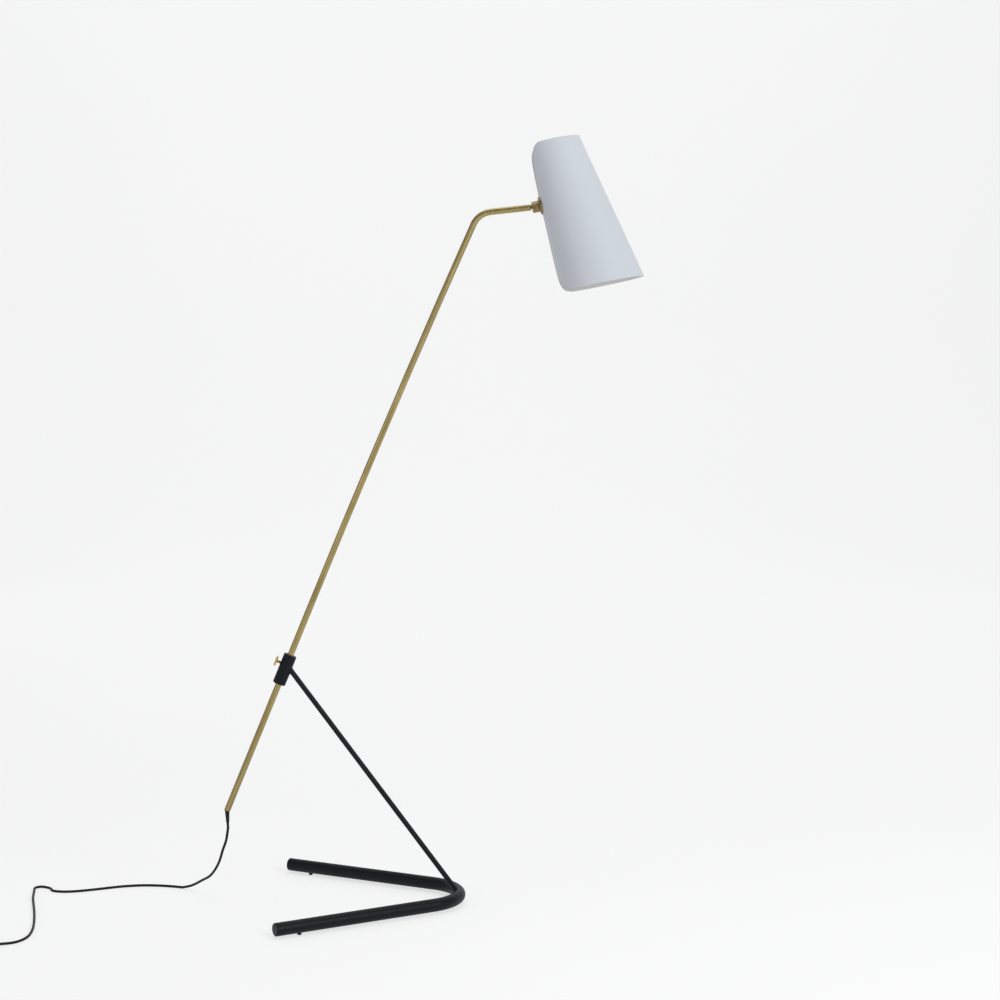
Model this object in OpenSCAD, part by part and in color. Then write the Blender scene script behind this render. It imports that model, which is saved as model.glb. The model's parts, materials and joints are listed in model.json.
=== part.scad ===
// Floor lamp: a leaning brass stem slides in a sleeve on a strut that rises from a V-shaped base bar.
// Millimetres. +Z is up and +X runs from the ends of the V towards the shade.
// The origin lies on the floor under the bend of the V, at the underside of the front foot.

/* [Base] */
// Diameter of the solid base bar
bar_d = 25; // [22:0.5:28]
// Angle between each leg of the V and its middle line, in degrees
leg_angle = 28; // [24:0.5:32]
// Length of a leg, from the corner where the two centrelines would meet
leg_len = 500; // [440:5:560]
// Radius of the bend, at the bar's centreline
bend_r = 88; // [80:1:96]
// Height that the feet stand proud of the bar
foot_proud = 3.5; // [2.5:0.5:5]
// Diameter of a foot
foot_d = 8; // [7:0.5:10]
// Distance of a rear foot from its leg's end
foot_inset = 50; // [30:1:80]

/* [Strut and sleeve] */
// Diameter of the strut
strut_d = 10; // [8:0.5:12]
// Outer diameter of the sleeve
sleeve_d = 25; // [23:0.5:28]
// Length of the sleeve
sleeve_len = 60; // [50:1:70]
// Height of the sleeve's centre above the floor
sleeve_z = 459.5; // [440:0.5:480]
// Distance of the sleeve's centre behind the front foot
sleeve_back = 333.5; // [320:0.5:345]
// Diameter of the thumb screw's head
head_d = 20; // [16:1:24]

/* [Stem] */
// Outer diameter of the stem tube
stem_d = 12; // [11:0.5:12]
// Lean of the stem from vertical, in degrees
stem_lean = 22.4; // [20:0.1:25]
// Length of stem below the sleeve's centre
stem_below = 297; // [290:1:330]
// Length of straight stem above the sleeve's centre
stem_straight = 130; // [130:5:200]
// Length of the upper stem, which bows a little under the shade's weight
bow_len = 792; // [700:1:850]
// Radius of that slight bow
bow_r = 25000; // [20000:500:60000]
// Radius of the bend between the stem and its arm
arm_bend_r = 40; // [30:1:60]
// Rise of the arm above the horizontal, in degrees
arm_rise = 6.3; // [0:0.1:12]
// Length of the arm's straight tube
arm_len = 76; // [60:1:120]

/* [Shade] */
// Half-angle of the rolled cone, in degrees
cone_half = 5.9; // [5:0.1:7]
// Radius of the cone at the top of its back line
shade_top_r = 49; // [46:0.5:52]
// Length of the shade's back line
shade_len = 282.5; // [270:0.5:300]
// Distance from the top of the back line down to the ball joint
joint_drop = 114.7; // [105:0.1:125]
// Thickness of the shade's sheet
sheet_t = 1; // [0.8:0.1:1.2]
// Slope of the two rims, down towards the front, in degrees
rim_slope = 1.8; // [0:0.1:4]
// Rise of the ball joint's axis above the horizontal, in degrees
shade_rise = 13.1; // [8:0.1:20]
// Turn of the shade about the arm, in degrees
shade_roll = -4.25; // [-10:0.25:10]

/* [Cord] */
// Diameter of the cord
cord_d = 5; // [4.5:0.1:5.5]
// Length of the inline switch
switch_len = 64; // [60:1:70]
// Width of the inline switch
switch_w = 34; // [32:1:38]

/* [Hidden] */
$fn = 48;

black = [0.12, 0.12, 0.13];
brass = [0.62, 0.54, 0.34];
polished = [0.74, 0.6, 0.34];
steel = [0.45, 0.45, 0.47];
enamel = [0.8, 0.83, 0.86];
plastic = [0.16, 0.16, 0.17];
nylon = [0.85, 0.84, 0.8];
hair = 0.05;                    // a step too small to see, between stretches of one bent piece
lap = 0.5;                      // how far one stretch enters the next
run_gap = 0.05;                 // radial clearance of a running fit

// Base
bar_z = foot_proud + bar_d / 2;
corner_x = bend_r / sin(leg_angle) - bend_r;
bend_turn = 180 - 2 * leg_angle;
straight_leg = leg_len - bend_r / tan(leg_angle);
foot_seat = 0.7;                // depth of the flat that a foot's head seats on
foot_stem_d = 4;
foot_stem_len = 9;
foot_along = leg_len - foot_inset;
foot_x = corner_x - foot_along * cos(leg_angle);
foot_y = foot_along * sin(leg_angle);
FEET = [[0, 0], [foot_x, foot_y], [foot_x, -foot_y]];

// Strut and sleeve
sleeve_pos = [-sleeve_back, 0, sleeve_z];
strut_up = 9.6;                 // where the strut meets the stem's axis, above the sleeve's centre
strut_top = sleeve_pos + strut_up * [sin(stem_lean), 0, cos(stem_lean)];
strut_vec = strut_top - [0, 0, bar_z];
strut_len = norm(strut_vec);
strut_lean = atan2(strut_vec[0], strut_vec[2]);
liner_d = 14;
screw_up = 9.5;                 // height of the thumb screw above the sleeve's centre
shank_d = 5;
shank_tip = liner_d / 2 + 0.05;
shank_end = 19.9;
hub_start = 15.5;
disc_start = 19.5;
disc_end = 23.5;

// Stem
wall = 1;
tube_in = stem_d / 2 - wall;
bow_turn = bow_len / bow_r * 180 / PI;
arm_turn = 90 - arm_rise - stem_lean - bow_turn;
neck_len = 9.5;                 // from the tube's end to the ball's centre
neck_d = 6;
ball_r = 6.5;
seat_r = 7.8;
cavity_r = 7.9;
cable_d = 3.4;
bush_lip = 1.6;                 // depth of the bush below the tube's end

// Shade, in its own frame: the ball's centre is the origin, +X points through the joint into the
// shade and +Z runs up along the shade's back line
back_x = 10.3;
top_z = joint_drop;
bottom_z = joint_drop - shade_len;
apex_z = joint_drop + shade_top_r / sin(cone_half);
nut_back = -6.4;
nut_front = 6.6;
nut_af = 18.4;
spigot_r = 8.5;
tail_r = 6;
tail_end = 22;
washer_face = 14.5;
plate_t = 2;
holder_z = 24;                  // height of the holder's plate on the cone's axis
holder_h = (apex_z - holder_z) / cos(cone_half);

// Corner cut-outs of the rolled sheet: [rim gap of the wedge, its depth, corner width, corner depth]
top_cut = [22, 100, 30, 38];
bottom_cut = [7, 150, 54, 50];

// Bulb and holder, in the cone's frame, with the plate's underside at zero
cap_bottom = -20;
shell_bottom = -54;
bulb_r = 30;
bulb_z = -103;
glass_t = 1;

// Cord
cord_r = cord_d / 2;
tube_end = sleeve_pos - stem_below * [sin(stem_lean), 0, cos(stem_lean)];
relief_lean = -2;
relief_len = 24;
relief_top = tube_end - 0.3 * [sin(stem_lean), 0, cos(stem_lean)];
relief_down = -[sin(relief_lean), 0, cos(relief_lean)];
cord_exit = relief_top + (relief_len + 0.05) * relief_down;
switch_x = -888;                // centre of the inline switch
switch_y = -266;
coil_pos = [-916, -326];
coil_in = 17.5;
coil_out = 37.5;
coil_z = 0.5;                   // the tie under the coil holds it this far off the floor
plug_pos = [-881, -374, 7];
plug_len = 36;
exit_step = 5;                  // the cord leaves the strain relief in line with it, in these steps

// The hanging stretch, from the strain relief to the floor
DROP = [
    cord_exit, cord_exit + exit_step * relief_down, cord_exit + 2 * exit_step * relief_down,
    [-447, 1, 140], [-450, 3, 124], [-457, 8, 104], [-467, 22, 74], [-484, 47, 45], [-505, 77, 26],
    [-527, 100, 10], [-547, 113, cord_r]
];
// The stretch on the floor, to the inline switch
RUN = [
    [-547, 113, cord_r], [-568, 121, cord_r], [-598, 128, cord_r], [-630, 130, cord_r],
    [-668, 123, cord_r], [-710, 106, cord_r], [-748, 92, cord_r], [-776, 88, cord_r],
    [-799, 95, cord_r], [-808, 114, cord_r], [-826, 126, cord_r], [-838, 118, cord_r],
    [-836, 93, cord_r], [-831, 50, cord_r], [-825, 16, cord_r], [-812, -52, cord_r],
    [-801, -120, cord_r], [-795, -176, cord_r], [-797, -222, cord_r], [-812, -252, cord_r],
    [-836, -265, 3.2], [-846, -266, 5], [switch_x + switch_len / 2, -266, 7]
];
// From the switch to the coil
LEAD = [
    [switch_x - switch_len / 2, -266, 7], [-936, -270, 5], [-947, -282, 3], [-951, -298, cord_r],
    [-951, -326, cord_r]
];
// From the coil to the plug
TAIL = [
    [-941, -351, 8], [-932, -360, 6], [-924, -367, 5], [-915, -373, 6],
    [plug_pos[0] - plug_len / 2 - 8, plug_pos[1], plug_pos[2]]
];

// ---------- general shapes ----------

module ring2d(ro, ri) {
    difference() {
        circle(r = ro);
        if (ri > 0) circle(r = ri);
    }
}

module tube(h, ro, ri) {
    difference() {
        cylinder(h = h, r = ro);
        translate([0, 0, -1]) cylinder(h = h + 2, r = ri);
    }
}

// A rod or tube that starts at the origin along +Z and turns towards +X
module bent(r, turn, steps = 48) {
    translate([r, 0, 0]) rotate([90, 0, 0]) rotate([0, 0, 180 - turn])
        rotate_extrude(angle = turn, $fn = steps) translate([r, 0]) children();
}

module after_bend(r, turn) {
    translate([r - r * cos(turn), 0, r * sin(turn)]) rotate([0, turn, 0]) children();
}

module hexagon(af, h) {
    cylinder(h = h, r = af / 2 / cos(30), $fn = 6);
}

// A solid of revolution about Z from [radius, height] points
module turned(points) {
    rotate_extrude() polygon(points);
}

// ---------- swept tube ----------

function spline(p0, p1, p2, p3, t) = 0.5 * (2 * p1 + (p2 - p0) * t
    + (2 * p0 - 5 * p1 + 4 * p2 - p3) * t * t + (3 * p1 - p0 - 3 * p2 + p3) * t * t * t);

function smooth(pts, n) = [
    for (i = [0 : len(pts) - 2], k = [0 : n - 1])
        spline(pts[max(i - 1, 0)], pts[i], pts[i + 1], pts[min(i + 2, len(pts) - 1)], k / n),
    pts[len(pts) - 1]
];

function unit(v) = v / norm(v);

function heading(c, i) = unit(c[min(i + 1, len(c) - 1)] - c[max(i - 1, 0)]);

function ring_at(c, i, r, sides) =
    let (t = heading(c, i), a = unit(cross(t, abs(t[2]) > 0.9 ? [0, 1, 0] : [0, 0, 1])), b = cross(a, t))
    [for (k = [0 : sides - 1]) c[i] + r * (cos(360 * k / sides) * a + sin(360 * k / sides) * b)];

module sweep(pts, r, n = 2, sides = 10) {
    c = smooth(pts, n);
    last = len(c) - 1;
    points = [for (i = [0 : last]) each ring_at(c, i, r, sides)];
    sides_faces = [
        for (i = [0 : last - 1], k = [0 : sides - 1])
            let (a = i * sides + k, b = i * sides + (k + 1) % sides)
            each [[a, b, b + sides], [a, b + sides, a + sides]]
    ];
    start = [[for (k = [0 : sides - 1]) sides - 1 - k]];
    end = [[for (k = [0 : sides - 1]) last * sides + k]];
    polyhedron(points, concat(start, sides_faces, end));
}

// ---------- frames ----------

// Along the stem, with +Z up the stem and the sleeve's centre at zero
module on_stem(s = 0) {
    translate(sleeve_pos) rotate([0, stem_lean, 0]) translate([0, 0, s]) children();
}

// The start of the arm's straight tube, with +Z along the arm
module on_arm(s = 0) {
    on_stem(stem_straight) after_bend(bow_r, bow_turn) after_bend(arm_bend_r, arm_turn)
        translate([0, 0, s]) children();
}

module in_shade() {
    on_arm(arm_len + neck_len) rotate([0, 0, shade_roll])
        rotate([0, arm_rise - 90 - shade_rise, 0]) children();
}

// On the cone's axis, h from its point, with +Z up the axis
module on_cone(h = 0) {
    in_shade() translate([back_x, 0, apex_z]) rotate([0, -cone_half, 0])
        translate([0, 0, -h]) children();
}

module along_x(x = 0) {
    translate([x, 0, 0]) rotate([0, 90, 0]) children();
}

module on_strut() {
    translate([0, 0, bar_z]) rotate([0, strut_lean, 0]) children();
}

module on_screw() {
    on_stem(screw_up) rotate([0, -90, 0]) children();
}

// ---------- base ----------

module leg(side) {
    chamfer = 1.2;
    r = bar_d / 2;
    translate([corner_x, 0, bar_z]) rotate([0, 0, side * -leg_angle]) rotate([0, -90, 0])
        translate([0, 0, leg_len - straight_leg]) {
            cylinder(h = straight_leg - chamfer, r = r);
            translate([0, 0, straight_leg - chamfer]) cylinder(h = chamfer, r1 = r, r2 = r - chamfer);
        }
}

module base_bar() {
    bend_lap = lap / bend_r * 180 / PI;
    color(black) difference() {
        union() {
            leg(1);
            leg(-1);
            translate([-bend_r, 0, bar_z]) rotate([0, 0, -bend_lap - bend_turn / 2])
                rotate_extrude(angle = bend_turn + 2 * bend_lap, $fn = 96)
                translate([bend_r, 0]) circle(r = bar_d / 2 - hair);
        }
        on_strut() cylinder(h = bar_d, d = strut_d);
        for (p = FEET) translate([p[0], p[1], 0]) {
            cylinder(h = foot_proud + foot_seat, d = foot_d + 1);
            cylinder(h = foot_proud + foot_seat + foot_stem_len, d = foot_stem_d);
        }
    }
}

module base_feet() {
    head_h = foot_proud + foot_seat;
    color(plastic) for (p = FEET) translate([p[0], p[1], 0]) {
        turned([[0, 0], [foot_d / 2 - 0.6, 0], [foot_d / 2, 0.6], [foot_d / 2, head_h],
            [foot_stem_d / 2, head_h], [foot_stem_d / 2, head_h + foot_stem_len - 0.5],
            [0, head_h + foot_stem_len - 0.5]]);
    }
}

// ---------- strut and sleeve ----------

module strut() {
    color(black) difference() {
        on_strut() cylinder(h = strut_len, d = strut_d);
        on_stem(-sleeve_len) cylinder(h = 2 * sleeve_len, d = sleeve_d);
    }
}

module sleeve() {
    r = sleeve_d / 2;
    b = liner_d / 2;
    h = sleeve_len / 2;
    e = 1.8;
    edge = [for (a = [0 : 15 : 90]) [r - e + e * cos(a), h - e + e * sin(a)]];
    color(black) difference() {
        on_stem() turned(concat([[b, h], [b, -h]],
            [for (i = [len(edge) - 1 : -1 : 0]) [edge[i][0], -edge[i][1]]], edge));
        on_screw() cylinder(h = sleeve_d, r = shank_d / 2 + run_gap);
    }
}

module sleeve_liner() {
    recess = 0.5;
    color(nylon) on_stem(recess - sleeve_len / 2)
        tube(sleeve_len - 2 * recess, liner_d / 2, stem_d / 2 + 0.1);
}

module thumb_screw_shank() {
    color(steel) on_screw() turned([[0, shank_tip], [shank_d / 2 - 0.7, shank_tip],
        [shank_d / 2, shank_tip + 0.7], [shank_d / 2, shank_end], [0, shank_end]]);
}

module thumb_screw_head() {
    bore = shank_d / 2 + 0.02;
    r = head_d / 2;
    color(polished) on_screw() turned([[bore, hub_start], [3.8, hub_start], [4.3, hub_start + 0.5],
        [4.3, disc_start - 1.5], [6, disc_start], [r - 1.6, disc_start], [r - 0.5, disc_start + 0.5],
        [r, disc_start + 1.6], [r, disc_end - 1.6], [r - 0.5, disc_end - 0.5], [r - 1.6, disc_end],
        [6, disc_end], [5, disc_end - 0.6],
        [0, disc_end - 0.6], [0, shank_end + 0.3], [bore, shank_end + 0.3]]);
}

// ---------- stem ----------

// The stem's line, from below the sleeve to a distance along the arm. Every second stretch is a
// hair thinner and enters its neighbours by a lap, so the stretches fuse into one solid.
module stem_path(ro, ri, from, to) {
    fine_o = ro - hair;
    fine_i = ri > 0 ? ri + hair : 0;
    bow_lap = lap / bow_r * 180 / PI;
    on_stem(from) linear_extrude(stem_straight - from) ring2d(ro, ri);
    on_stem(stem_straight) after_bend(bow_r, -bow_lap) bent(bow_r, bow_turn + 2 * bow_lap, 1800)
        ring2d(fine_o, fine_i);
    on_stem(stem_straight) after_bend(bow_r, bow_turn) bent(arm_bend_r, arm_turn, 120) ring2d(ro, ri);
    on_arm(-lap) linear_extrude(to + lap) ring2d(fine_o, fine_i);
}

module stem_tube() {
    color(brass) stem_path(stem_d / 2, tube_in, -stem_below, arm_len);
}

module cord_bush() {
    lip = 5.2;
    color(plastic) on_stem(-stem_below) turned([[cord_r, -bush_lip], [lip, -bush_lip], [lip, -0.1],
        [tube_in - 0.1, -0.1], [tube_in - 0.1, 12], [cord_r, 12]]);
}

module strain_relief() {
    collar = 4.2;
    color(plastic) difference() {
        translate(relief_top) rotate([0, 180 + relief_lean, 0]) turned([[0, 0], [collar, 0],
            [collar, 5], [cord_r + 0.4, relief_len], [0, relief_len]]);
        on_stem(-stem_below - bush_lip) cylinder(h = 10, r = 10);
    }
}

module stem_cable() {
    color(plastic) stem_path(cable_d / 2, 0, 14 - stem_below, arm_len + neck_len + 4);
}

module ball_stud() {
    color(polished) on_arm(arm_len) turned([[2, -12], [tube_in - 0.02, -12], [tube_in - 0.02, 0],
        [stem_d / 2, 0], [neck_d / 2, 1.6], [neck_d / 2, neck_len + 4.4], [2, neck_len + 4.4]]);
}

module ball() {
    color(polished) on_arm(arm_len + neck_len) difference() {
        sphere(r = ball_r, $fn = 72);
        translate([0, 0, -10]) cylinder(h = 20, r = neck_d / 2 + run_gap);
    }
}

// ---------- ball joint's housing ----------

// A zone of a spherical shell about the joint's axis, between two angles from the neck's side
module ball_seat() {
    color(nylon) in_shade() along_x() difference() {
        intersection() {
            sphere(r = seat_r, $fn = 72);
            translate([0, 0, -3]) cylinder(h = 7, r = 10);
        }
        sphere(r = ball_r + 0.06, $fn = 72);
    }
}

module joint_nut() {
    mouth = 8;
    lip = 7;
    lip_x = -3.7;
    color(polished) in_shade() difference() {
        intersection() {
            along_x(nut_back) hexagon(nut_af, nut_front - nut_back);
            along_x(nut_back) cylinder(h = nut_front - nut_back, r1 = nut_af / 2 + 0.2, r2 = 30);
        }
        sphere(r = cavity_r, $fn = 72);
        along_x(nut_back - 1) cylinder(h = lip_x - nut_back + 1, r1 = mouth + 0.4, r2 = lip);
        along_x(0) cylinder(h = nut_front + 1, r = spigot_r);
    }
}

module joint_body() {
    color(polished) in_shade() difference() {
        union() {
            along_x(0.05) cylinder(h = nut_front - 0.05, r = spigot_r);
            along_x(nut_front) cylinder(h = tail_end - nut_front, r = tail_r);
        }
        sphere(r = cavity_r, $fn = 72);
        along_x(0) cylinder(h = tail_end + 1, r = 3.5);
    }
}

module cone_shell(off) {
    near = 430;
    far = 800;
    k = tan(cone_half);
    drop = off / sin(cone_half);
    on_cone(far) cylinder(h = far - near, r1 = (far + drop) * k, r2 = (near + drop) * k, $fn = 120);
}

module flange() {
    r = 17;
    color(polished) difference() {
        in_shade() along_x(nut_front) turned([[tail_r, 0], [12, 0], [r - 0.6, 1.4], [r, 2.2],
            [r, 9], [tail_r, 9]]);
        cone_shell(0);
    }
}

module backing_washer() {
    r = 15;
    color(polished) intersection() {
        in_shade() along_x(back_x) tube(washer_face - back_x, r, tail_r);
        cone_shell(-sheet_t);
    }
}

module lock_nut() {
    color(polished) in_shade() along_x(washer_face + plate_t) difference() {
        hexagon(18, 4);
        translate([0, 0, -1]) cylinder(h = 6, r = tail_r);
    }
}

// ---------- shade ----------

// Half-width of a corner cut-out, along the sheet, at depth d from the rim
function cut_half(c, d) = 0.5 + c[0] * sqrt(max(0, 1 - d / c[1]))
    + c[2] * (d < c[3] ? 1 - sqrt(1 - pow((c[3] - d) / c[3], 2)) : 0);

// The same width seen square-on, on a wall of radius r
function cut_seen(c, d, r) = r * sin(cut_half(c, d) / r * 180 / PI);

// Points down one side of the back opening: [half-width, height]
function corner_side(c, r, rim, dir) = [
    for (i = [0 : 22]) let (d = c[1] * (1 - pow(1 - pow(i / 22, 1.5), 1.5))) [cut_seen(c, d, r), rim + dir * d]
];

// The seam down the back line and the rounded corners where it opens out at each rim
module back_cut() {
    over = 12;
    top = corner_side(top_cut, shade_top_r, top_z, -1);
    bottom = corner_side(bottom_cut, 77, bottom_z, 1);
    side = concat(
        [[top[0][0], top_z + over]],
        top,
        [for (i = [len(bottom) - 1 : -1 : 0]) bottom[i]],
        [[bottom[0][0], bottom_z - over]]
    );
    mirrored = [for (i = [len(side) - 1 : -1 : 0]) [-side[i][0], side[i][1]]];
    translate([back_x - 12, 0, 0]) rotate([90, 0, 90]) linear_extrude(62) polygon(concat(side, mirrored));
}

module rim_cut(z, up) {
    size = 400;
    translate([back_x, 0, z]) rotate([0, rim_slope, 0])
        translate([-size / 2, -size / 2, up ? 0 : -size]) cube(size);
}

module shade() {
    color(enamel) difference() {
        cone_shell(0);
        cone_shell(-sheet_t);
        in_shade() rim_cut(top_z, true);
        in_shade() rim_cut(bottom_z, false);
        in_shade() back_cut();
        in_shade() along_x(back_x - 5) cylinder(h = 10, r = tail_r);
    }
}

// ---------- lampholder and bulb ----------

module holder_bracket() {
    w = 24;
    foot_low = -14;
    knee_x = washer_face;
    knee_drop = (back_x + (apex_z - holder_z) * tan(cone_half) - knee_x) / cos(cone_half);
    knee_z = holder_z - knee_drop * sin(cone_half);
    // The outline from the side: an upright against the shade's back and a plate across its axis
    along = [cos(cone_half), sin(cone_half)];
    up = [-sin(cone_half), cos(cone_half)];
    knee = [knee_x, knee_z];
    tip = knee + (knee_drop + 15) * along;
    outline = [[knee_x, foot_low], [knee_x + plate_t, foot_low],
        [knee_x + plate_t, knee_z + plate_t * tan(cone_half)], tip, tip + plate_t * up,
        [knee_x, knee_z + plate_t / cos(cone_half)]];
    color(steel) difference() {
        in_shade() rotate([90, 0, 0]) linear_extrude(w, center = true) polygon(outline);
        in_shade() along_x(washer_face - 1) cylinder(h = 4, r = tail_r);
        on_cone(holder_h) translate([0, 0, -1]) cylinder(h = 4, r = 5);
        on_cone(holder_h) translate([34 - 68, 0, -3]) cylinder(h = 10, r = 4.5);
    }
}

module holder_nipple() {
    color(polished) on_cone(holder_h) translate([0, 0, -10]) tube(18, 5, 3.5);
}

module nipple_nut() {
    color(polished) on_cone(holder_h) translate([0, 0, plate_t]) difference() {
        hexagon(14, 3);
        translate([0, 0, -1]) cylinder(h = 5, r = 5);
    }
}

module holder_cap() {
    color(plastic) on_cone(holder_h) turned([[5, 0], [12, 0], [14, -1], [19, -12], [19, cap_bottom],
        [17, cap_bottom], [17, -12.4], [12.6, -2], [5, -2]]);
}

module holder_insulator() {
    color(nylon) on_cone(holder_h) translate([0, 0, -24]) tube(8, 14.2, 2);
}

module holder_contact() {
    color(polished) on_cone(holder_h) turned([[0, -14], [1.9, -14], [1.9, -24], [4, -24], [4, -25.5],
        [0, -25.5]]);
}

module holder_thread() {
    color(polished) on_cone(holder_h) translate([0, 0, -52]) tube(28, 14.2, 13.5);
}

module holder_shell() {
    color(plastic) on_cone(holder_h) turned([[14.3, cap_bottom], [19, cap_bottom],
        [19, shell_bottom + 1.5], [17.5, shell_bottom], [14.3, shell_bottom]]);
}

module bulb_cap() {
    color(steel) on_cone(holder_h) turned([[0, -25.5], [4.5, -25.5], [5.5, -27], [11, -28.5], [13.2, -30],
        [13.2, -52], [12.4, -52], [12.4, -31], [0, -31]]);
}

// Half profile of the bulb's envelope at radius scale r, from the neck to the bottom
function bulb_outline(neck, r) = concat(
    [[neck, -52], [neck, -58]],
    [for (a = [50 : -10 : -90]) [r * cos(a), bulb_z + r * sin(a)]]
);

module bulb_glass() {
    outer = bulb_outline(13, bulb_r);
    inner = bulb_outline(13 - glass_t, bulb_r - glass_t);
    color("white") on_cone(holder_h)
        turned(concat(outer, [for (i = [len(inner) - 1 : -1 : 0]) inner[i]]));
}

// The lead that leaves the joint's tail, rises through the plate and dips into the nipple
module shade_cable() {
    r = cable_d / 2;
    loop_r = 16.5;
    rise = 26;
    color(plastic) in_shade() {
        along_x(9) cylinder(h = 15, r = r);
        translate([24, 0, 0]) rotate([0, 90, 0]) mirror([1, 0, 0]) bent(10, 90) circle(r = r);
        translate([34, 0, 10]) cylinder(h = rise, r = r);
        translate([34, 0, 10 + rise]) bent(loop_r, 180) circle(r = r);
        translate([34 + 2 * loop_r, 0, 26]) cylinder(h = 10, r = r);
    }
}

// ---------- cord and what is on it ----------

module cord_drop() {
    color(black) sweep(DROP, cord_r, 2);
}

module cord_run() {
    color(black) sweep(RUN, cord_r, 2);
}

module cord_lead() {
    color(black) sweep(LEAD, cord_r, 2);
}

module cord_tail() {
    color(black) sweep(TAIL, cord_r, 2);
}

module cord_coil() {
    color(black) translate([coil_pos[0], coil_pos[1], coil_z]) turned([[coil_in + 2, 0], [coil_out - 2, 0],
        [coil_out, 2], [coil_out, 8], [coil_out - 2, 10], [coil_in + 2, 10], [coil_in, 8], [coil_in, 2]]);
}

module coil_tie() {
    in = 10.2;
    out = 21;
    color(plastic) translate([coil_pos[0] + (coil_in + coil_out) / 2, coil_pos[1], 5 + coil_z])
        rotate([90, 0, 0]) linear_extrude(8, center = true) difference() {
            square([out, in + 0.8], center = true);
            square([out - 0.9, in - 0.1], center = true);
        }
}

module pill(len, w, h, r) {
    linear_extrude(h) {
        square([len - 2 * r, w], center = true);
        square([len, w - 2 * r], center = true);
        for (x = [-1, 1], y = [-1, 1]) translate([x * (len / 2 - r), y * (w / 2 - r)]) circle(r = r);
    }
}

split_z = 9;
switch_h = 22;
switch_wall = 2;
button_r = 9;
switch_r = 12;
SCREWS = [-1, 1] * 22;

module at_switch() {
    translate([switch_x, switch_y, 0]) children();
}

module cord_holes() {
    translate([0, 0, 7]) rotate([0, 90, 0]) translate([0, 0, -switch_len])
        cylinder(h = 2 * switch_len, r = cord_r);
}

module switch_base() {
    color(plastic) at_switch() difference() {
        union() {
            difference() {
                pill(switch_len, switch_w, split_z, switch_r);
                translate([0, 0, switch_wall]) pill(switch_len - 4, switch_w - 4, split_z, switch_r - 2);
            }
            for (x = SCREWS) translate([x, 9, 1]) cylinder(h = split_z - 1, r = 3.5);
        }
        for (x = SCREWS) translate([x, 9, -1]) {
            cylinder(h = split_z + 2, r = 1.5);
            cylinder(h = 3.5, r = 2.8);
        }
        cord_holes();
    }
}

module switch_cover() {
    color(plastic) at_switch() difference() {
        union() {
            difference() {
                union() {
                    translate([0, 0, split_z]) pill(switch_len, switch_w, 11.5, switch_r);
                    translate([0, 0, 20]) pill(switch_len - 3, switch_w - 3, switch_h - 20, switch_r - 1.5);
                }
                translate([0, 0, split_z - 1]) pill(switch_len - 4, switch_w - 4, 11, switch_r - 2);
            }
            for (x = SCREWS) translate([x, 9, split_z]) cylinder(h = 10.5, r = 3.5);
        }
        for (x = SCREWS) translate([x, 9, split_z - 1]) cylinder(h = 8, r = 1.5);
        cylinder(h = 40, r = button_r + 0.3);
        cord_holes();
    }
}

module switch_button() {
    top = 26;
    color(plastic) at_switch() turned([[0, 15], [6, 15], [6, 16.5], [10.5, 16.5], [10.5, 18.7],
        [button_r, 18.7], [button_r, top - 1.5], [button_r - 1.5, top], [0, top]]);
}

module switch_spring() {
    color(steel) at_switch() translate([0, 0, 6]) tube(10.5, 7.5, 6.2);
}

module switch_contacts() {
    color(polished) at_switch() {
        translate([0, 0, 4]) cube([17, 14, 4], center = true);
        translate([0, 0, 5]) cylinder(h = 3, r = 3);
    }
}

module switch_screws() {
    color(steel) at_switch() for (x = SCREWS) translate([x, 9, 0.5]) {
        cylinder(h = 1.9, r = 2.6);
        cylinder(h = 14, r = 1.5);
    }
}

PINS = [-1, 1] * 9.3;
root_r = 1.5;                   // radius of a pin inside the plug

module at_plug() {
    translate(plug_pos) children();
}

module plug_body() {
    half = plug_len / 2;
    color(plastic) at_plug() difference() {
        union() {
            translate([0, 0, -7]) linear_extrude(14) polygon([[half, -17], [half, 17], [half - 10, 17],
                [-half, 5.5], [-half, -5.5], [half - 10, -17]]);
            along_x(-half - 8) cylinder(h = 8.5, r1 = cord_r + 0.6, r2 = 5);
        }
        for (y = PINS) translate([half - 12, y, 0]) rotate([0, 90, 0]) cylinder(h = 20, r = root_r);
    }
}

module plug_pins() {
    color(brass) at_plug() for (y = PINS) translate([plug_len / 2 - 12, y, 0]) rotate([0, 90, 0]) {
        cylinder(h = 12.5, r = root_r);
        translate([0, 0, 12]) cylinder(h = 18, r = 2);
        translate([0, 0, 30]) cylinder(h = 1, r1 = 2, r2 = 1.2);
    }
}

base_bar();
base_feet();
strut();
sleeve();
sleeve_liner();
thumb_screw_shank();
thumb_screw_head();
stem_tube();
cord_bush();
strain_relief();
stem_cable();
ball_stud();
ball();
ball_seat();
joint_nut();
joint_body();
flange();
backing_washer();
lock_nut();
shade();
holder_bracket();
holder_nipple();
nipple_nut();
holder_cap();
holder_insulator();
holder_contact();
holder_thread();
holder_shell();
bulb_cap();
bulb_glass();
shade_cable();
cord_drop();
cord_run();
cord_lead();
cord_coil();
cord_tail();
coil_tie();
switch_base();
switch_cover();
switch_button();
switch_spring();
switch_contacts();
switch_screws();
plug_body();
plug_pins();
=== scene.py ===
"""A floor lamp with a V-shaped base bar, a leaning brass stem and a rolled conical shade.

Metres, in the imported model's own frame: +Z up, +X from the ends of the V towards the shade.
"""
import json
import math

import bmesh
import bpy
from mathutils import Matrix, Vector


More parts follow.
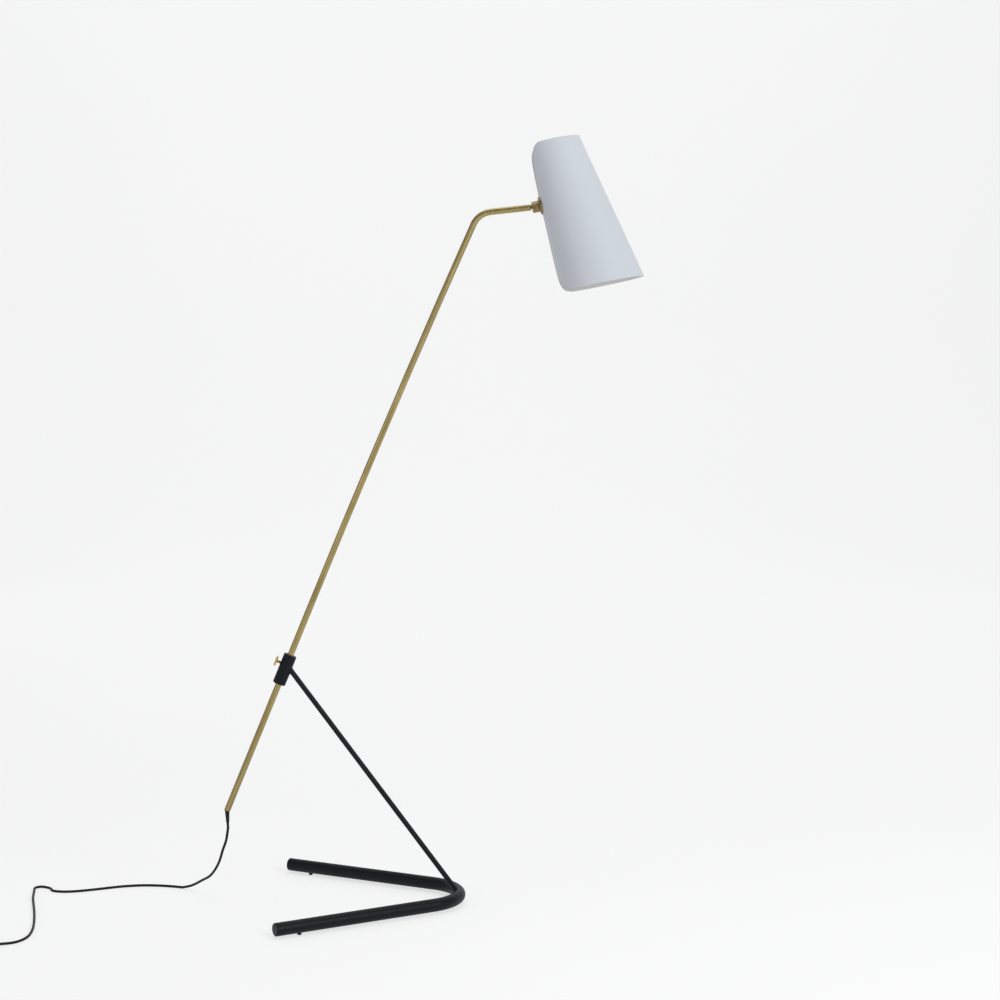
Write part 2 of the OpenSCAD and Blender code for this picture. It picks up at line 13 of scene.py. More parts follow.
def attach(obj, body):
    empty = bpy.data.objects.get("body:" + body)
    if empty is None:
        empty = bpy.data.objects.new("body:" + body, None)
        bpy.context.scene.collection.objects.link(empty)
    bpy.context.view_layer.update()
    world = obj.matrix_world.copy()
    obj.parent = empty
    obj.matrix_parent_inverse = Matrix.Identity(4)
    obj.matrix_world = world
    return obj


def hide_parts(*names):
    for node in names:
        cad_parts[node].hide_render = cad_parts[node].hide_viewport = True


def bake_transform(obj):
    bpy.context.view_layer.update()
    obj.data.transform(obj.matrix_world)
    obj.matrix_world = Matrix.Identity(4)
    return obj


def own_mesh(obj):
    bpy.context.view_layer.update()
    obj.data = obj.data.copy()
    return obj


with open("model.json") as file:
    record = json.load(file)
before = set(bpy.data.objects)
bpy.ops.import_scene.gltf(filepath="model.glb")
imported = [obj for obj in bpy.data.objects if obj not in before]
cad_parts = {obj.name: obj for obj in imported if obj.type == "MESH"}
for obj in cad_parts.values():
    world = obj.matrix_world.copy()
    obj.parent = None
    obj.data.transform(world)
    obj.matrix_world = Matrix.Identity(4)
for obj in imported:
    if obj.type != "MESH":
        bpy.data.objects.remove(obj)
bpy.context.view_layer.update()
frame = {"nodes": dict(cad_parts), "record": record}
NODES = frame["nodes"]
JOINTS = {j["name"]: j for j in frame["record"]["behaviour"]["joints"]}
MM = 0.001


# ---------------------------------------------------------------- frames of the object


def at(origin, z, x=None):
    """A frame at origin whose Z runs along z, and whose X is as near x as it can be."""
    z = Vector(z).normalized()
    x = Vector(x) if x is not None else Vector((0, 1, 0)).cross(z)
    y = z.cross(x).normalized()
    m = Matrix((y.cross(z), y, z)).transposed().to_4x4()
    m.translation = origin
    return m


STEM_AXIS = Vector(JOINTS["stem_slide"]["axis"])
SLEEVE_CENTRE = Vector(JOINTS["stem_turn"]["pos_m"])
BALL_CENTRE = Vector(JOINTS["shade_roll"]["pos_m"])
SHADE_UP = Vector(JOINTS["shade_pan"]["axis"])
SHADE_SIDE = Vector(JOINTS["shade_tilt"]["axis"])
SHADE_OUT = SHADE_SIDE.cross(SHADE_UP)
SCREW_POINT = Vector(JOINTS["screw_turn"]["pos_m"])
SCREW_AXIS = Vector(JOINTS["screw_turn"]["axis"])

on_screw = at(SCREW_POINT, SCREW_AXIS)
in_shade = at(BALL_CENTRE, SHADE_UP, SHADE_OUT)      # X through the joint, Z up the shade's back

# The cone that the shade is rolled to, in millimetres in that frame
CONE_HALF = math.radians(5.9)
SHADE_TOP_R = 49
SHADE_TOP_Z = 114.7      # up the shade's back, from the ball to the upper rim
BACK_X = 10.3            # from the ball to the shade's back
APEX_Z = SHADE_TOP_Z + SHADE_TOP_R / math.sin(CONE_HALF)
SHEET = 1 * MM
CONE_POINT = in_shade @ Vector((BACK_X * MM, 0, APEX_Z * MM))
CONE_AXIS = (in_shade.to_3x3() @ Vector((-math.sin(CONE_HALF), 0, math.cos(CONE_HALF)))).normalized()

# ---------------------------------------------------------------- camera

camera = bpy.data.objects.new("camera", bpy.data.cameras.new("camera"))
camera.data.lens = 85
camera.data.sensor_width = 36
camera.location = (-0.0542, -4.4789, 1.2556)
camera.rotation_euler = (math.radians(84), 0, math.radians(-1.71))
bpy.context.collection.objects.link(camera)
bpy.context.scene.camera = camera

# ---------------------------------------------------------------- mesh tools


def mesh_object(name, vertices, faces, crease=35):
    """A smooth-shaded mesh object whose edges stay sharp where they turn more than crease degrees."""
    mesh = bpy.data.meshes.new(name)
    mesh.from_pydata([tuple(v) for v in vertices], [], faces)
    bm = bmesh.new()
    bm.from_mesh(mesh)
    bmesh.ops.remove_doubles(bm, verts=bm.verts, dist=1e-6)
    bmesh.ops.recalc_face_normals(bm, faces=bm.faces)
    for face in bm.faces:
        face.smooth = True
    for edge in bm.edges:
        edge.smooth = len(edge.link_faces) == 2 and edge.calc_face_angle(0) < math.radians(crease)
    bm.to_mesh(mesh)
    bm.free()
    obj = bpy.data.objects.new(name, mesh)
    bpy.context.collection.objects.link(obj)
    return obj


def lathe(name, profile, place, steps=64, crease=35, ripple=None):
    """Turns a closed [(radius, height), ...] outline in millimetres about the Z axis of place.
    ripple(k, radius, height) gives the radius at step k, for knurls and ribs."""
    vertices, faces, n = [], [], len(profile)
    for k in range(steps):
        angle = 2 * math.pi * k / steps
        for r, z in profile:
            r = ripple(k, r, z) if ripple else r
            vertices.append(place @ Vector((r * math.cos(angle) * MM, r * math.sin(angle) * MM, z * MM)))
    for k in range(steps):
        for i in range(n):
            a, b = k * n + i, k * n + (i + 1) % n
            c, d = ((k + 1) % steps) * n + (i + 1) % n, ((k + 1) % steps) * n + i
            faces.append((a, b, c, d))
    return mesh_object(name, vertices, faces, crease)


def rings(path, radius, sides):
    """The vertices of circles round a path, turned as little as possible from one to the next."""
    found, side = [], None
    for i, p in enumerate(path):
        ahead = (path[min(i + 1, len(path) - 1)] - path[max(i - 1, 0)]).normalized()
        side = Vector((0, 1, 0)) if side is None else side
        side = (side - ahead * side.dot(ahead)).normalized()
        up = ahead.cross(side)
        for k in range(sides):
            a = 2 * math.pi * k / sides
            found.append(p + radius * (math.cos(a) * side + math.sin(a) * up))
    return found


def swept(name, path, radius, sides=12, crease=50):
    """A closed tube along a path, in metres."""
    faces = []
    for i in range(len(path) - 1):
        for k in range(sides):
            a, b = i * sides + k, i * sides + (k + 1) % sides
            faces.append((a, b, b + sides, a + sides))
    last = (len(path) - 1) * sides
    faces.append(tuple(range(sides - 1, -1, -1)))
    faces.append(tuple(range(last, last + sides)))
    return mesh_object(name, rings(path, radius, sides), faces, crease)


def spline(points, n):
    """A smooth curve through the points, with n steps from each to the next."""
    found = []
    for i in range(len(points) - 1):
        p0, p1 = points[max(i - 1, 0)], points[i]
        p2, p3 = points[i + 1], points[min(i + 2, len(points) - 1)]
        for k in range(n):
            t = k / n
            found.append(0.5 * (2 * p1 + (p2 - p0) * t + (2 * p0 - 5 * p1 + 4 * p2 - p3) * t * t
                                + (3 * p1 - p0 - 3 * p2 + p3) * t ** 3))
    return found + [points[-1]]


# ---------------------------------------------------------------- materials


class Look:
    """A node material: a Principled shader with noise for its colour, roughness and bump."""

    def __init__(self, name, color, metallic=0.0, rough=0.5):
        self.material = bpy.data.materials.new(name)
        self.material.use_nodes = True
        self.tree = self.material.node_tree
        self.shader = self.tree.nodes["Principled BSDF"]
        self.shader.inputs["Metallic"].default_value = metallic
        self.shader.inputs["Roughness"].default_value = rough
        self.shader.inputs["Base Color"].default_value = (*color, 1)
        self.coords = self.node("ShaderNodeTexCoord").outputs["Object"]

    def node(self, kind, **inputs):
        """A new node with its inputs set or linked by name, with _ for a space."""
        made = self.tree.nodes.new(kind)
        for key, value in inputs.items():
            self.put(made.inputs[key.replace("_", " ")], value)
        return made

    def put(self, socket, value):
        """Links a socket to another node's output, or sets its number or colour."""
        if isinstance(value, bpy.types.NodeSocket):
            self.tree.links.new(value, socket)
        else:
            socket.default_value = value

    def math(self, operation, a, b=0.0):
        made = self.node("ShaderNodeMath")
        made.operation = operation
        self.put(made.inputs[0], a)
        self.put(made.inputs[1], b)
        return made.outputs[0]

    def vector(self, operation, a, b=(0, 0, 0)):
        made = self.node("ShaderNodeVectorMath")
        made.operation = operation
        self.put(made.inputs[0], a)
        self.put(made.inputs[1], b)
        return made.outputs["Value" if operation in ("DOT_PRODUCT", "LENGTH") else "Vector"]

    def noise(self, scale, detail=4.0, stretch=None, turn=(0, 0, 0)):
        """Noise over the object, optionally stretched along the axes of a turned frame."""
        at_point = self.coords
        if stretch:
            at_point = self.node("ShaderNodeMapping", Vector=at_point, Rotation=turn).outputs[0]
            at_point = self.node("ShaderNodeMapping", Vector=at_point, Scale=stretch).outputs[0]
        return self.node("ShaderNodeTexNoise", Vector=at_point, Scale=scale, Detail=detail).outputs["Fac"]

    def ramp(self, value, low, high, to_low=0.0, to_high=1.0):
        """Maps low..high onto to_low..to_high and stops at both ends."""
        made = self.node("ShaderNodeMapRange", Value=value)
        for i, limit in zip((1, 2, 3, 4), (low, high, to_low, to_high)):
            made.inputs[i].default_value = limit
        return made.outputs[0]

    def blend(self, factor, a, b):
        """Mixes two colours, from a at 0 to b at 1."""
        made = self.tree.nodes.new("ShaderNodeMix")
        made.data_type = "RGBA"
        self.put(made.inputs[0], factor)
        for socket, value in ((made.inputs[6], a), (made.inputs[7], b)):
            self.put(socket, value if isinstance(value, bpy.types.NodeSocket) else (*value, 1))
        return made.outputs[2]

    def bump(self, height, strength, depth, under=None):
        """A bump map, on top of another one if under is given."""
        made = self.node("ShaderNodeBump", Height=height, Strength=strength, Distance=depth)
        if under is not None:
            self.put(made.inputs["Normal"], under)
        return made.outputs[0]

    def set(self, **inputs):
        """Sets or links the shader's own inputs by name."""
        for key, value in inputs.items():
            self.put(self.shader.inputs[key.replace("_", " ")], value)
        return self


def powder_coat():
    """Black powder coat with a fine orange peel and a little dust."""
    look = Look("powder_coat", (0.005, 0.0055, 0.008))
    tone = look.blend(look.noise(9.0), (0.0035, 0.004, 0.006), (0.006, 0.007, 0.010))
    dust = look.ramp(look.noise(120.0, 8.0), 0.62, 0.8, 0.0, 0.15)
    peel = look.bump(look.noise(900.0, 3.0), 0.25, 0.0004)
    return look.set(
        Base_Color=look.blend(dust, tone, (0.03, 0.03, 0.03)),
        Roughness=look.ramp(look.noise(35.0, 6.0), 0.3, 0.7, 0.40, 0.52),
        Specular_IOR_Level=0.16,
        Normal=peel,
    )


def brass(name, shine, dark, light, streaks, turn=(0, 0, 0), tarnish=0.5):
    """Brass with lengthwise polishing streaks and soft brown tarnish."""
    look = Look(name, light, metallic=1.0, rough=shine)
    streak = look.noise(260.0, 6.0, streaks, turn)
    patch = look.ramp(look.noise(14.0, 7.0), 0.42, 0.72, 0.0, tarnish)
    spots = look.ramp(look.noise(210.0, 5.0), 0.66, 0.74, 0.0, tarnish)
    tone = look.blend(look.ramp(streak, 0.3, 0.7), dark, light)
    tone = look.blend(patch, tone, tuple(c * 0.72 for c in dark))
    worn = look.ramp(streak, 0.25, 0.75, shine - 0.06, shine + 0.07)
    worn = look.math("ADD", worn, look.math("MULTIPLY", patch, 0.16))
    return look.set(
        Base_Color=look.blend(spots, tone, tuple(c * 0.45 for c in dark)),
        Roughness=worn,
        Normal=look.bump(streak, 0.12, 0.0002),
    )


def steel(name, color, rough):
    """Plain or plated metal with a fine upright grain."""
    look = Look(name, color, metallic=1.0, rough=rough)
    grain = look.noise(380.0, 5.0, (1, 1, 0.08))
    return look.set(
        Base_Color=look.blend(grain, tuple(c * 0.7 for c in color), color),
        Roughness=look.ramp(grain, 0.3, 0.7, rough - 0.07, rough + 0.1),
        Normal=look.bump(grain, 0.15, 0.0002),
    )


def enamel():
    """Satin blue-grey enamel outside the shade and white inside it, split by the wall's radius; the inner
    white is greyed down as painted shade.
    """
    look = Look("shade_enamel", (0.6, 0.64, 0.7), rough=0.42)
    off_point = look.vector("SUBTRACT", look.coords, tuple(CONE_POINT))
    below = look.math("MULTIPLY", look.vector("DOT_PRODUCT", off_point, tuple(CONE_AXIS)), -1.0)
    squares = [look.math("POWER", side, 2.0) for side in (look.vector("LENGTH", off_point), below)]
    radius = look.math("SQRT", look.math("SUBTRACT", *squares))
    depth = look.math("SUBTRACT", look.math("MULTIPLY", below, math.tan(CONE_HALF)), radius)
    inside = look.math("GREATER_THAN", depth, 0.6 * SHEET)
    outer = look.blend(look.noise(7.0, 5.0), (0.503, 0.537, 0.58), (0.532, 0.566, 0.61))
    specks = look.ramp(look.noise(420.0, 3.0), 0.70, 0.78, 0.0, 0.3)
    outer = look.blend(specks, outer, (0.40, 0.43, 0.47))
    # The inside's white is greyed down as painted shade, standing in for the shade that falls inside the
    # cone.
    inner = look.blend(look.noise(20.0), (0.62, 0.625, 0.625), (0.67, 0.675, 0.675))
    peel = look.bump(look.noise(650.0, 2.0), 0.10, 0.0003)
    waves = look.bump(look.noise(11.0, 2.0), 0.10, 0.004, peel)
    return look.set(
        Base_Color=look.blend(inside, outer, inner),
        Roughness=look.ramp(look.noise(40.0, 5.0), 0.3, 0.7, 0.60, 0.70),
        Specular_IOR_Level=0.3,
        Normal=waves,
    )


def plastic(name, color, rough, grain=1400.0, strength=0.3, gloss=0.35):
    """Moulded plastic, rubber or china with a fine skin; grain and strength are the skin's."""
    look = Look(name, color, rough=rough)
    fine = look.noise(grain, 2.0)
    dark = tuple(c * 0.8 for c in color)
    light = tuple(c * 1.2 for c in color)
    return look.set(
        Base_Color=look.blend(look.noise(60.0, 5.0), dark, light),
        Roughness=look.ramp(look.noise(90.0, 5.0), 0.3, 0.7, rough - 0.05, rough + 0.07),
        Specular_IOR_Level=gloss,
        Normal=look.bump(fine, strength, 0.0002),
    )


def opal_glass():
    """Milky glass with a thin clear gloss."""
    look = Look("opal_glass", (0.9, 0.89, 0.86), rough=0.25)
    return look.set(
        Base_Color=look.blend(look.noise(30.0), (0.86, 0.85, 0.82), (0.93, 0.92, 0.90)),
        Roughness=look.ramp(look.noise(80.0), 0.3, 0.7, 0.18, 0.3),
        Subsurface_Weight=0.3,
        Subsurface_Scale=0.01,
        Coat_Weight=0.5,
        Coat_Roughness=0.08,
        Normal=look.bump(look.noise(120.0, 2.0), 0.03, 0.001),
    )


LEAN = math.atan2(STEM_AXIS.x, STEM_AXIS.z)
LOOKS = {
    "black_paint": powder_coat(),
    "foot_plastic": plastic("foot_plastic", (0.010, 0.010, 0.011), 0.6, gloss=0.2),
    "nylon": plastic("nylon", (0.62, 0.6, 0.54), 0.5),
    "dark_steel": steel("dark_steel", (0.10, 0.10, 0.11), 0.38),
    "polished_brass": brass("polished_brass", 0.27, (0.46, 0.32, 0.11), (0.66, 0.49, 0.20), (1, 1, 1),
                            tarnish=0.35),
    "aged_brass": brass("aged_brass", 0.3, (0.26, 0.185, 0.08), (0.42, 0.315, 0.155), (1, 1, 1),
                        tarnish=0.5),
    "satin_brass": brass("satin_brass", 0.32, (0.31, 0.24, 0.093), (0.44, 0.355, 0.165), (1, 1, 0.03),
                         (0, -LEAN, 0), tarnish=0.45),
    "black_plastic": plastic("black_plastic", (0.011, 0.011, 0.012), 0.42, gloss=0.25),
    "black_rubber": plastic("black_rubber", (0.009, 0.009, 0.010), 0.6, gloss=0.2),
    "cable_sheath": plastic("cable_sheath", (0.7, 0.69, 0.66), 0.45),
    "shade_enamel": enamel(),
    "plated_steel": steel("plated_steel", (0.62, 0.62, 0.60), 0.32),
    "ceramic_white": plastic("ceramic_white", (0.75, 0.73, 0.68), 0.2, 200.0, 0.05),
    "contact_brass": brass("contact_brass", 0.3, (0.55, 0.42, 0.2), (0.75, 0.6, 0.32), (1, 1, 1),
                           tarnish=0.2),
    "bulb_metal": steel("bulb_metal", (0.75, 0.75, 0.75), 0.28),
    "opal_glass": opal_glass(),
    "cord_black": plastic("cord_black", (0.007, 0.007, 0.008), 0.5, 2500.0, 0.2, 0.15),
    "gloss_button": plastic("gloss_button", (0.02, 0.02, 0.022), 0.2, 600.0, 0.05),
    "spring_steel": steel("spring_steel", (0.55, 0.55, 0.56), 0.3),
}
SLOT_OF = {s["node"]: s["material_slot"] for s in frame["record"]["subparts"]}


def dress(obj, slot):
    """Gives a piece the look of one of the record's material slots."""
    obj.data.materials.clear()
    obj.data.materials.append(LOOKS[slot].material)
    return obj


for node, cad in NODES.items():
    for index in range(len(cad.material_slots)):
        cad.material_slots[index].material = LOOKS[SLOT_OF[node]].material


def piece(obj, slot, body, *replaced):
    """Dresses a new piece, rides it on its body and hides the nodes that it stands for."""
    dress(obj, slot)
    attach(obj, body)
    if replaced:
        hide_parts(*replaced)
    return obj


# ---------------------------------------------------------------- the free cord

CORD = 5 * MM
STEM_BELOW = 0.297       # from the sleeve's middle to the stem's lower end, in metres
STEM_END = SLEEVE_CENTRE - STEM_BELOW * STEM_AXIS
RELIEF_GAP = 0.3 * MM
RELIEF_TOP = STEM_END - RELIEF_GAP * STEM_AXIS
RELIEF_LEAN = math.radians(-2)
RELIEF_DOWN = -Vector((math.sin(RELIEF_LEAN), 0, math.cos(RELIEF_LEAN)))
RELIEF_LEN = 24
CORD_EXIT = RELIEF_TOP + (RELIEF_LEN + 0.05) * MM * RELIEF_DOWN
EXIT_STEP = 5 * MM * RELIEF_DOWN


def in_mm(*points):
    """Points given in millimetres, as vectors in metres."""
    return [MM * Vector(p) for p in points]


# Down from the strain relief, along the floor, through the switch and to the coil
FLOOR = 2.6
SWITCH = Vector((-888, -266, 0))
HANGING = [CORD_EXIT, CORD_EXIT + EXIT_STEP, CORD_EXIT + 2 * EXIT_STEP] + in_mm(
    (-447, 1, 140), (-450, 3, 124), (-457, 8, 104), (-467, 22, 74), (-484, 47, 45), (-505, 77, 26),
    (-527, 100, 10), (-547, 113, FLOOR))
LYING = in_mm(
    (-547, 113, FLOOR), (-568, 121, FLOOR), (-598, 128, FLOOR), (-630, 130, FLOOR),
    (-668, 123, FLOOR), (-710, 106, FLOOR), (-748, 92, FLOOR), (-776, 88, FLOOR),
    (-799, 95, FLOOR), (-808, 114, FLOOR), (-826, 126, FLOOR), (-838, 118, FLOOR),
    (-836, 93, FLOOR), (-831, 50, FLOOR), (-825, 16, FLOOR), (-812, -52, FLOOR),
    (-801, -120, FLOOR), (-795, -176, FLOOR), (-797, -222, FLOOR), (-812, -252, FLOOR),
    (-836, -265, 3.2), (-846, -266, 5), (-856, -266, 7))
TO_COIL = in_mm(
    (-920, -266, 7), (-936, -270, 5), (-947, -282, 3.2), (-951, -298, 2.8), (-951, -326, 3))
FROM_COIL = in_mm(
    (-941, -351, 8), (-932, -360, 6), (-924, -367, 5), (-915, -373, 6), (-907, -374, 7))
COIL = Vector((-916, -326, 0))
COIL_OUT = 35
COIL_IN = 20
COIL_Z = 3               # height of the lower layer's middle
COIL_LAYER = 5           # from one layer to the next
COIL_TURNS = 8
COIL_STEPS = 32


def coil_points():
    """Turns inwards along the floor, up one layer and outwards on top, ending an eighth of a turn later."""
    found = []
    last = COIL_TURNS * COIL_STEPS + COIL_STEPS // 8
    half = COIL_TURNS * COIL_STEPS / 2
    for k in range(1, last):
        a = math.pi + 2 * math.pi * k / COIL_STEPS
        outwards = min(abs(k - half) / half, 1)
        climb = min(max((k - half) / (COIL_STEPS * 0.5) + 0.5, 0), 1)
        climb = climb * climb * (3 - 2 * climb)
        r = COIL_IN + (COIL_OUT - COIL_IN) * outwards
        z = COIL_Z + COIL_LAYER * climb
        found.append(MM * (COIL + Vector((r * math.cos(a), r * math.sin(a), z))))
    return found


cord_path = spline(HANGING, 6)[:-1] + spline(LYING, 6)[:-1]
cord_path += spline([LYING[-1], MM * (SWITCH + Vector((0, 0, 7))), TO_COIL[0]], 4)[:-1]
cord_path += spline(TO_COIL, 5) + coil_points() + spline(FROM_COIL, 5)
cord = swept("cord", cord_path, CORD / 2, 12)
dress(cord, "cord_black")
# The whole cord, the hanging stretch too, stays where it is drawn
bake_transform(cord)
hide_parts("cord_drop", "cord_run", "cord_lead", "cord_coil", "cord_tail")

# ---------------------------------------------------------------- strain relief

COLLAR_R = 4.2
COLLAR_LEN = 5
RELIEF_TIP_R = 2.9
RELIEF_STEPS = 48
SLOTS_FROM = 7
SLOTS_TO = 21.4
SLOT_WIDTH = 1.8
SLOT_DEPTH = 0.45


def relief_outline():
    """A collar, a straight taper in steps that are finer than the slots, and the tip."""
    taper = (COLLAR_R - RELIEF_TIP_R) / (RELIEF_LEN - COLLAR_LEN)
    step = SLOT_WIDTH / 3
    found = [(0, 0), (4.0, 0), (COLLAR_R, 0.4), (COLLAR_R, COLLAR_LEN)]
    for i in range(1, int((RELIEF_LEN - COLLAR_LEN) / step) + 1):
        found.append((COLLAR_R - taper * i * step, COLLAR_LEN + i * step))
    return found + [(RELIEF_TIP_R, RELIEF_LEN), (0, RELIEF_LEN)]


def relief_slots(k, r, z):
    """Cuts slots a quarter of the way round on opposite sides, turned from one row to the next."""
    row = int((z - SLOTS_FROM) // SLOT_WIDTH)
    quarter = k // (RELIEF_STEPS // 4)
    if SLOTS_FROM < z < SLOTS_TO and r > CORD / 2 / MM and row % 2 == 0 and (quarter + row // 2) % 2 == 0:
        return r - SLOT_DEPTH
    return r


relief_place = at(RELIEF_TOP, CORD_EXIT - RELIEF_TOP)
relief = lathe("strain_relief_sleeve", relief_outline(), relief_place, RELIEF_STEPS, 60, relief_slots)
piece(relief, "black_rubber", "cord_end", "strain_relief")

# ---------------------------------------------------------------- rounded outlines

CORNER_STEPS = 12


def outline(half_x, half_y, corner):
    """Points round a rectangle with rounded corners, the same number for every size."""
    found = []
    for quarter, (sx, sy) in enumerate([(1, 1), (-1, 1), (-1, -1), (1, -1)]):
        for step in range(CORNER_STEPS):
            a = math.pi / 2 * (quarter + step / (CORNER_STEPS - 1))
            found.append((sx * (half_x - corner) + corner * math.cos(a),
                          sy * (half_y - corner) + corner * math.sin(a)))
    return found


def loft(name, sections, place, ends=True, crease=40):
    """Joins rounded rectangles (half x, half y, corner, height), in millimetres, up the Z of place.
    Without ends the last one joins the first, as in a shell with a hole through it."""
    vertices, faces = [], []
    for half_x, half_y, corner, z in sections:
        vertices += [place @ (MM * Vector((x, y, z))) for x, y in outline(half_x, half_y, corner)]
    n = 4 * CORNER_STEPS
    count = len(sections)
    for i in range(count - 1 if ends else count):
        for k in range(n):
            a, b = i * n + k, i * n + (k + 1) % n
            c, d = (i + 1) % count * n + (k + 1) % n, (i + 1) % count * n + k
            faces.append((a, b, c, d))
    if ends:
        faces.append(tuple(range(n - 1, -1, -1)))
        faces.append(tuple(range((count - 1) * n, count * n)))
    return mesh_object(name, vertices, faces, crease)


# ---------------------------------------------------------------- thumb screw

TEETH = 48
STEPS_A_TOOTH = 3
TOOTH_DEPTH = 0.22
TOOTH_FROM_R = 9.5
KNOB = [
    (2.52, 15.5), (3.0, 15.5), (3.3, 15.8), (3.3, 18.5), (3.7, 19.1), (4.5, 19.4), (5.6, 19.5), (8.6, 19.5),
    (9.2, 19.7), (9.7, 20.1), (10, 20.7), (10, 22.3), (9.7, 22.9), (9.2, 23.3), (8.6, 23.5), (6.2, 23.5),
    (5.4, 23.3), (4.8, 22.9), (4.0, 22.8), (0, 22.8), (0, 20.2), (2.52, 20.2)]


def knurl(k, r, z):
    """Fine teeth round the edge of the thumb screw's disc."""
    if r <= TOOTH_FROM_R:
        return r
    return r - TOOTH_DEPTH * (1 - math.cos(2 * math.pi * k / STEPS_A_TOOTH))


knob = lathe("thumb_screw_knob", KNOB, on_screw, TEETH * STEPS_A_TOOTH, 32, knurl)
piece(knob, "polished_brass", "thumb_screw", "thumb_screw_head")

# ---------------------------------------------------------------- weld beads

BEAD_STEPS = 72
BEAD_RINGS = 6
BEAD_SUNK = 0.6          # how far the bead's underside lies inside the metal
SEARCH_TO = 40.0         # the surface is nearer than this along the rod
HALVINGS = 30


def weld(name, foot, away, radius, wide, outside):
    """A painted weld bead round a rod that runs from foot along away, where it leaves a surface.
    outside(point) is positive outside that surface. Lengths are in millimetres."""
    place = at(Vector(foot), away)
    profile = [(t / BEAD_RINGS, wide * (1 - t / BEAD_RINGS) ** 2) for t in range(BEAD_RINGS + 1)]
    profile += [(1, -BEAD_SUNK), (-0.1, -BEAD_SUNK)]
    vertices, faces = [], []
    for k in range(BEAD_STEPS):
        a = 2 * math.pi * k / BEAD_STEPS
        swell = 1 + 0.10 * math.sin(9 * a) * math.sin(2 * a + 1)
        for t, lift in profile:
            r = radius + wide * t * swell
            low, high = 0.0, SEARCH_TO
            for _ in range(HALVINGS):
                middle = (low + high) / 2
                point = place @ Vector((r * math.cos(a), r * math.sin(a), middle))
                low, high = (low, middle) if outside(point) > 0 else (middle, high)
            vertices.append(MM * (place @ Vector((r * math.cos(a), r * math.sin(a), low + lift))))
    n = len(profile)
    for k in range(BEAD_STEPS):
        for i in range(n):
            j, m = (i + 1) % n, (k + 1) % BEAD_STEPS
            faces.append((k * n + i, k * n + j, m * n + j, m * n + i))
    bead = mesh_object(name, vertices, faces, 60)
    return piece(bead, "black_paint", "base")


BAR_R = 12.5
BAR_Z = 16.0
BEND_R = 88.0
SLEEVE_R = 12.5
BEAD_FROM_R = 4.9        # each bead starts a little inside the strut's surface
STRUT_UP = 9.6           # up the sleeve, from its middle to the strut
STRUT_FOOT = Vector((0, 0, BAR_Z))
STRUT_TOP = SLEEVE_CENTRE / MM + STRUT_UP * STEM_AXIS
STRUT_WAY = (STRUT_TOP - STRUT_FOOT).normalized()


def off_bar(p):
    """How far a point is outside the bend of the base bar."""
    across = math.hypot(p.x + BEND_R, p.y) - BEND_R
    return math.hypot(across, p.z - BAR_Z) - BAR_R


def off_sleeve(p):
    """How far a point is outside the sleeve."""
    d = p - SLEEVE_CENTRE / MM
    return (d - d.dot(STEM_AXIS) * STEM_AXIS).length - SLEEVE_R


weld("weld_foot", STRUT_FOOT, STRUT_WAY, BEAD_FROM_R, 2.4, off_bar)
weld("weld_sleeve", STRUT_TOP, -STRUT_WAY, BEAD_FROM_R, 2.0, off_sleeve)

# ---------------------------------------------------------------- lampholder and bulb

HOLDER_Z = 24            # height of the holder's plate on the cone's axis, in the shade's frame
HOLDER_H = (APEX_Z - HOLDER_Z) / math.cos(CONE_HALF)
on_holder = at(CONE_POINT - HOLDER_H * MM * CONE_AXIS, CONE_AXIS, SHADE_OUT)
TURN_STEPS = 96
CAP = [
    (5, 0), (9, 0), (12, -0.3), (14, -1.2), (15.6, -3), (17, -6), (18.2, -9.5), (18.8, -12), (19, -13),
    (19, -19.4), (18.6, -20), (17, -20), (17, -12.8), (12.6, -2), (5, -2)]
SKIRT = [
    (14.3, -20.2), (18.5, -20.2), (18.9, -20.6), (18.9, -22.5), (18.2, -23), (18.2, -24), (18.2, -24.6),
    (18.2, -45.4), (18.2, -46), (18.2, -47), (18.9, -47.6), (18.9, -52), (18.5, -53.2), (17.4, -54),
    (14.9, -54), (14.3, -53.4)]
GRIP_TOP = -24.5
GRIP_BOTTOM = -45.5
GRIP_FROM_R = 18
GRIP_HEIGHT = 0.7

cap = lathe("lampholder_cap", CAP, on_holder, TURN_STEPS, 30)
piece(cap, "black_plastic", "shade", "holder_cap")


def grip(k, r, z):
    """Upright ribs round the skirt, two steps wide and two apart."""
    return r + GRIP_HEIGHT if GRIP_BOTTOM < z < GRIP_TOP and r > GRIP_FROM_R and k % 4 < 2 else r


skirt = lathe("lampholder_skirt", SKIRT, on_holder, TURN_STEPS, 30, grip)
piece(skirt, "black_plastic", "shade", "holder_shell")

THREAD_PITCH = 3.6
THREAD_HEIGHTS = [-30 - 0.5 * i for i in range(43)]
LINER_R = 13.75
LINER = [(LINER_R, -24)] + [(LINER_R, z) for z in THREAD_HEIGHTS]
LINER += [(LINER_R, -52), (14.15, -52), (14.15, -24)]
SCREW_CAP = [(0, -25.5), (4.3, -25.5), (4.7, -26.1), (5.5, -26.9), (8, -27.7), (11, -28.5), (12.3, -29.3)]
SCREW_CAP += [(12.7, z) for z in THREAD_HEIGHTS]
SCREW_CAP += [(12.9, -51.6), (12.9, -52), (12, -52), (12, -31), (0, -31)]


def helix(depth, bottom, top, inner, outer):
    """A rolled thread on the points between two heights and two radii."""
    def ripple(k, r, z):
        if bottom <= z <= top and inner < r < outer:
            return r + depth * math.sin(2 * math.pi * (z / THREAD_PITCH + k / TURN_STEPS))
        return r
    return ripple


liner_thread = helix(0.2, -51, -30, 12.2, 14)
liner = lathe("lampholder_thread", LINER, on_holder, TURN_STEPS, 60, liner_thread)
piece(liner, "contact_brass", "shade", "holder_thread")
bulb_thread = helix(0.45, -50.5, -30.5, 12.2, 14)
screw_cap = lathe("bulb_screw_cap", SCREW_CAP, on_holder, TURN_STEPS, 50, bulb_thread)
piece(screw_cap, "bulb_metal", "shade", "bulb_cap")

